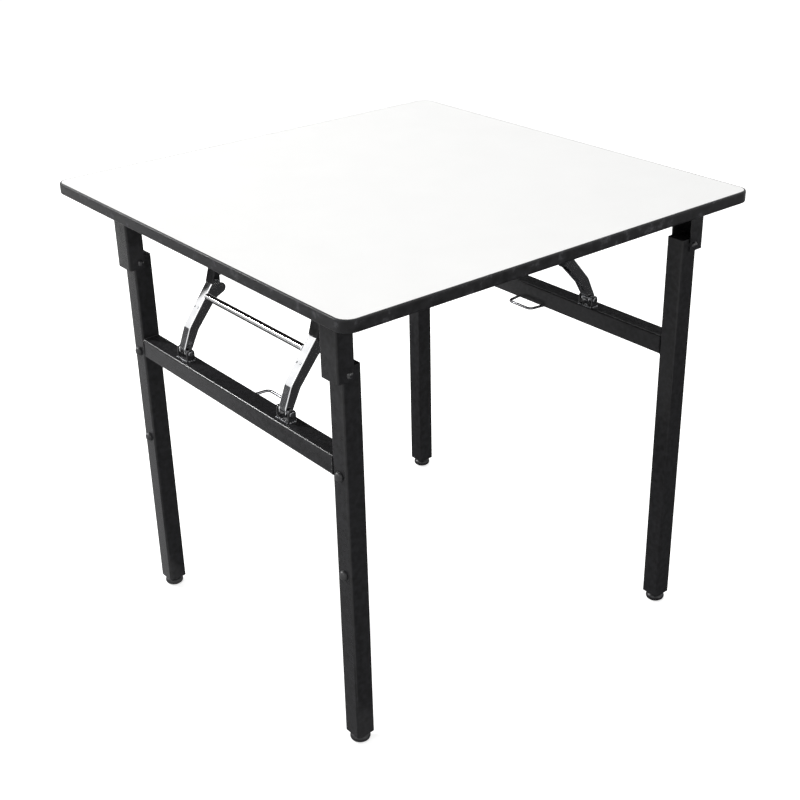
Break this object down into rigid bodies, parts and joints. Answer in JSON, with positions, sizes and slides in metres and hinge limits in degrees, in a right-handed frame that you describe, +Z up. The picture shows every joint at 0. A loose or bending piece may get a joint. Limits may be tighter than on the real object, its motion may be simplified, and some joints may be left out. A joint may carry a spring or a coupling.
{
  "type": "folding table",
  "caption": "Square table with a thin laminate top and two tubular leg frames that fold flat under it on locking braces.",
  "frame": {"origin": "on the floor below the centre of the top", "axes": "+Z up; the frame that folds first is at +X, the one that folds under it at -X"},
  "size_m": [0.762, 0.762, 0.735],
  "materials": {
    "laminate": "satin",
    "board": "raw",
    "backing": "smooth",
    "band": "mottled",
    "black_paint": "textured powder coat",
    "zinc": "bright",
    "steel": "satin",
    "plastic": "satin",
    "rubber": "matt"
  },
  "bodies": {
    "top": {"top_board": "board", "top_laminate": "laminate", "backing_sheet": "backing", "edge_band": "band", "leg_bracket_left": "black_paint", "leg_bracket_near": "black_paint", "leg_bracket_right": "black_paint", "leg_bracket_far": "black_paint", "pivot_bolt_left": "black_paint", "pivot_bolt_near": "black_paint", "pivot_bolt_right": "black_paint", "pivot_bolt_far": "black_paint", "top_bracket_a_1": "black_paint", "top_bracket_a_2": "black_paint", "top_bracket_b_1": "black_paint", "top_bracket_b_2": "black_paint", "top_pin_a_1": "steel", "top_pin_a_2": "steel", "top_pin_b_1": "steel", "top_pin_b_2": "steel"},
    "frame_a": {"leg_left": "black_paint", "leg_near": "black_paint", "foot_left": "plastic", "foot_near": "plastic", "crossbar_a": "black_paint", "wire_loop_a": "zinc", "foot_bracket_a_1": "black_paint", "foot_bracket_a_2": "black_paint", "foot_pin_a_1": "zinc", "foot_pin_a_2": "zinc", "bumper_left_upper": "rubber", "bumper_left_lower": "rubber", "bumper_near_upper": "rubber", "bumper_near_lower": "rubber"},
    "frame_b": {"leg_right": "black_paint", "leg_far": "black_paint", "foot_right": "plastic", "foot_far": "plastic", "crossbar_b": "black_paint", "wire_loop_b": "zinc", "foot_bracket_b_1": "black_paint", "foot_bracket_b_2": "black_paint", "foot_pin_b_1": "zinc", "foot_pin_b_2": "zinc"},
    "arms_a": {"brace_arm_a_1": "zinc", "brace_arm_a_2": "zinc", "tie_rod_a": "zinc"},
    "arms_b": {"brace_arm_b_1": "zinc", "brace_arm_b_2": "zinc", "tie_rod_b": "zinc"},
    "links_a": {"brace_link_a_1": "black_paint", "brace_link_a_2": "black_paint"},
    "links_b": {"brace_link_b_1": "black_paint", "brace_link_b_2": "black_paint"}
  },
  "joints": [
    {"name": "fold_a", "type": "hinge", "parent": "top", "child": "frame_a", "pos_m": [-0.312, 0, 0.6145], "axis": [0, -1, 0], "range_deg": [0, 90]},
    {"name": "fold_b", "type": "hinge", "parent": "top", "child": "frame_b", "pos_m": [0.312, 0, 0.652], "axis": [0, 1, 0], "range_deg": [0, 90]},
    {"name": "arm_swing_a", "type": "hinge", "parent": "frame_a", "child": "arms_a", "pos_m": [-0.306, 0, 0.497], "axis": [0, -1, 0], "range_deg": [0, 17]},
    {"name": "arm_swing_b", "type": "hinge", "parent": "frame_b", "child": "arms_b", "pos_m": [0.3, 0, 0.50775], "axis": [0, 1, 0], "range_deg": [0, 32]},
    {"name": "link_swing_a", "type": "hinge", "parent": "top", "child": "links_a", "pos_m": [-0.18, 0, 0.702], "axis": [0, -1, 0], "range_deg": [-44, 0]},
    {"name": "link_swing_b", "type": "hinge", "parent": "top", "child": "links_b", "pos_m": [0.16076, 0, 0.704], "axis": [0, 1, 0], "range_deg": [-52.5, 0]}
  ],
  "couplings": [
    {"joint": "arm_swing_a", "follows": "fold_a", "ratio": 0.18082},
    {"joint": "link_swing_a", "follows": "fold_a", "ratio": -0.48884},
    {"joint": "arm_swing_b", "follows": "fold_b", "ratio": 0.35},
    {"joint": "link_swing_b", "follows": "fold_b", "ratio": -0.58}
  ]
}
